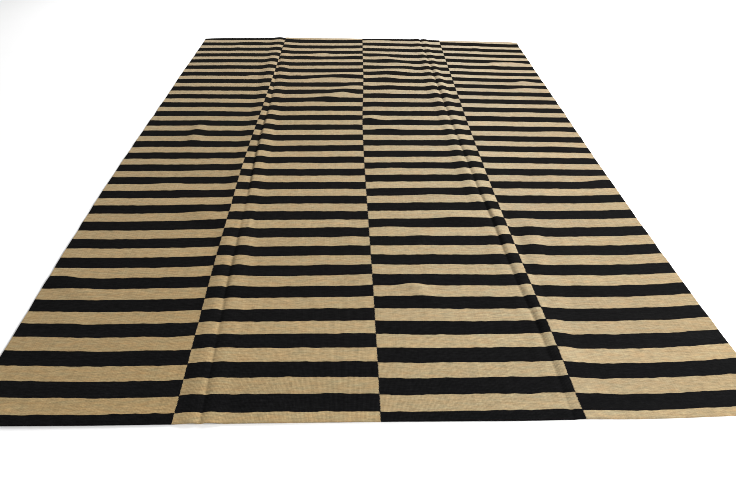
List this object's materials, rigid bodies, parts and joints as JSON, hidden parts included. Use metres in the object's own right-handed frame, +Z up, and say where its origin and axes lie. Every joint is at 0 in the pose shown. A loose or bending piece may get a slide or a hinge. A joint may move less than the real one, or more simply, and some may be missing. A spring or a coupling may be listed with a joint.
{
  "type": "kilim rug",
  "caption": "Flatwoven striped kilim rug: narrow panels sewn side by side, hemmed at both ends, lying on a floor with soft storage folds and low ripples.",
  "frame": {"origin": "on the floor, under the middle of the rug's outline", "axes": "+X across the panels to the right, +Y along the panels to the far end, +Z up out of the rug's upper face"},
  "size_m": [2.4236, 3.1423, 0.0141],
  "materials": {
    "striped_wool": "matt flatwoven wool in undyed beige and black stripes"
  },
  "bodies": {
    "root": {"panel_left_outer": "striped_wool", "panel_left_inner": "striped_wool", "panel_right_inner": "striped_wool", "panel_right_outer": "striped_wool"}
  },
  "joints": []
}
